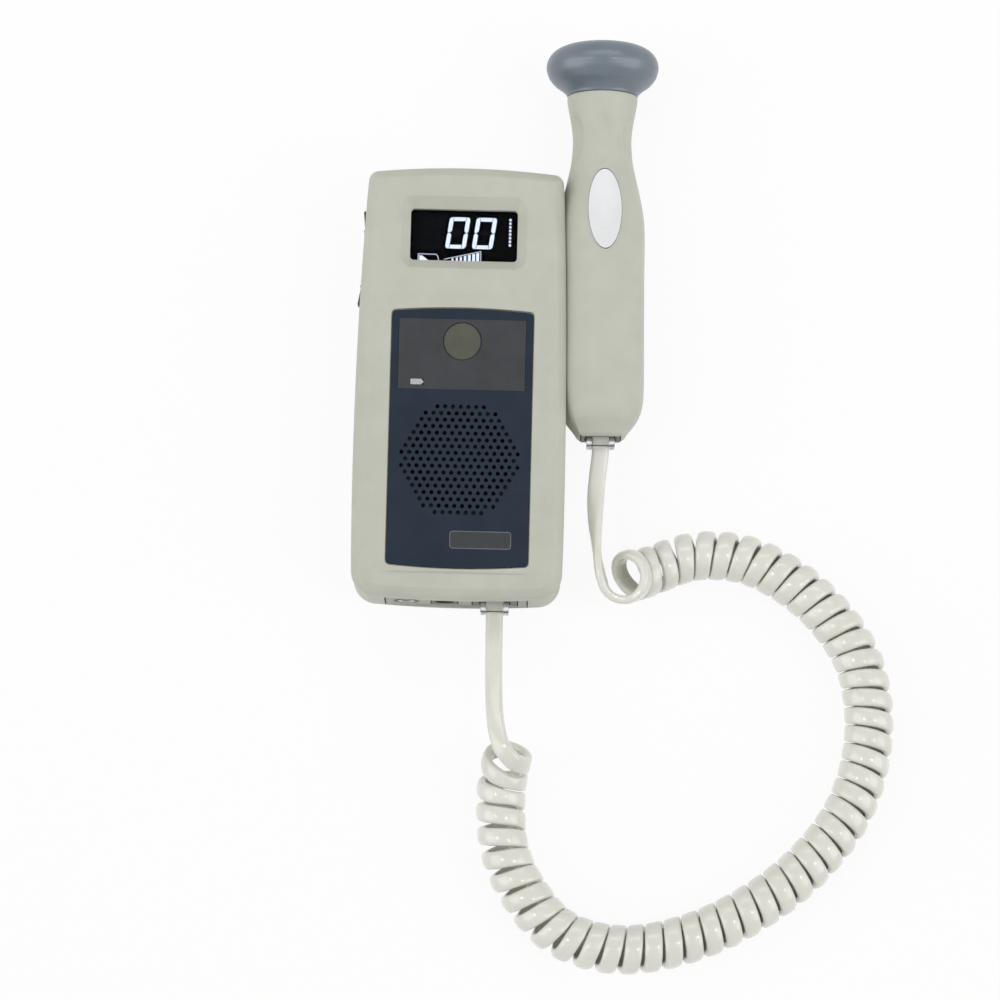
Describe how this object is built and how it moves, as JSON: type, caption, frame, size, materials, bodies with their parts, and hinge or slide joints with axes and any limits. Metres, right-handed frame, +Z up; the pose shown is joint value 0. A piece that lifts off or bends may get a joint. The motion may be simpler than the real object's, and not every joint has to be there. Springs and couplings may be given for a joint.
{
  "type": "fetal doppler monitor",
  "caption": "Pocket fetal heart rate monitor lying on its back, with a probe docked in the groove along its right side and a curly cord between them.",
  "frame": {"origin": "on the surface that the monitor lies on, under the middle of the monitor and its docked probe", "axes": "+Z up out of the display, +Y towards the monitor's top end and the probe's head, +X towards the docked probe"},
  "size_m": [0.187, 0.3199, 0.0391],
  "materials": {
    "case": "satin moulded ABS, warm grey",
    "panel": "fine matt moulded ABS, navy",
    "label": "matt printed polyester film, dark grey",
    "key": "matt, olive grey",
    "black_plastic": "satin moulded, black",
    "blue_grey": "satin moulded ABS, blue grey",
    "window": "polished smoked acrylic",
    "light_guide": "polished clear acrylic",
    "led": "moulded diffuser",
    "board": "solder mask on glass fibre laminate",
    "steel": "bright plated",
    "cone": "pressed paper pulp",
    "magnet": "sintered ferrite",
    "cell": "printed wrap over the cell",
    "oval_label": "semi-gloss white label",
    "crystal": "fired, silvered faces",
    "clear_plug": "clear moulded polycarbonate",
    "cord": "soft satin PVC sheath, ivory grey"
  },
  "bodies": {
    "monitor": {"front_shell": "case", "rear_shell": "case", "front_panel": "panel", "key_label": "label", "model_plate": "label", "power_switch": "black_plastic", "display_module": "black_plastic", "volume_switch_up": "black_plastic", "volume_switch_down": "black_plastic", "probe_socket": "black_plastic", "headphone_socket": "black_plastic", "charger_socket": "black_plastic", "end_panel": "blue_grey", "display_window": "window", "charge_light": "light_guide", "charge_led": "led", "main_board": "board", "speaker_frame": "steel", "battery_contacts_top": "steel", "battery_contacts_foot": "steel", "case_screw_1": "steel", "case_screw_2": "steel", "case_screw_3": "steel", "case_screw_4": "steel", "speaker_cone": "cone", "speaker_magnet": "magnet", "battery_cell_1": "cell", "battery_cell_2": "cell", "battery_cell_3": "cell", "unit_plug": "clear_plug", "unit_lead": "cord", "curly_cord": "cord", "probe_lead": "cord"},
    "power_button": {"power_button": "key"},
    "volume_rocker": {"volume_rocker": "black_plastic"},
    "battery_door": {"battery_door": "case"},
    "probe": {"probe_head": "blue_grey", "probe_handle": "case", "probe_label": "oval_label", "probe_end_socket": "black_plastic", "transmit_crystal": "crystal", "receive_crystal": "crystal", "crystal_backing": "black_plastic", "probe_board": "board", "probe_plug": "clear_plug"}
  },
  "joints": [
    {"name": "power_button_press", "type": "slide", "parent": "monitor", "child": "power_button", "axis": [0, 0, -1], "range_m": [0, 0.0008], "stiffness_N_per_m": 2500},
    {"name": "volume_rocker_tilt", "type": "hinge", "parent": "monitor", "child": "volume_rocker", "pos_m": [-0.04589, 0.01996, 0.0237], "axis": [0, 0, 1], "range_deg": [-3, 3], "stiffness_Nm_per_rad": 0.45},
    {"name": "battery_door_slide", "type": "slide", "parent": "monitor", "child": "battery_door", "axis": [0, -1, 0], "range_m": [0, 0.04]},
    {"name": "probe_undock", "type": "slide", "parent": "monitor", "child": "probe", "axis": [0.9999, 0.0157, 0], "range_m": [0, 0.025]}
  ]
}
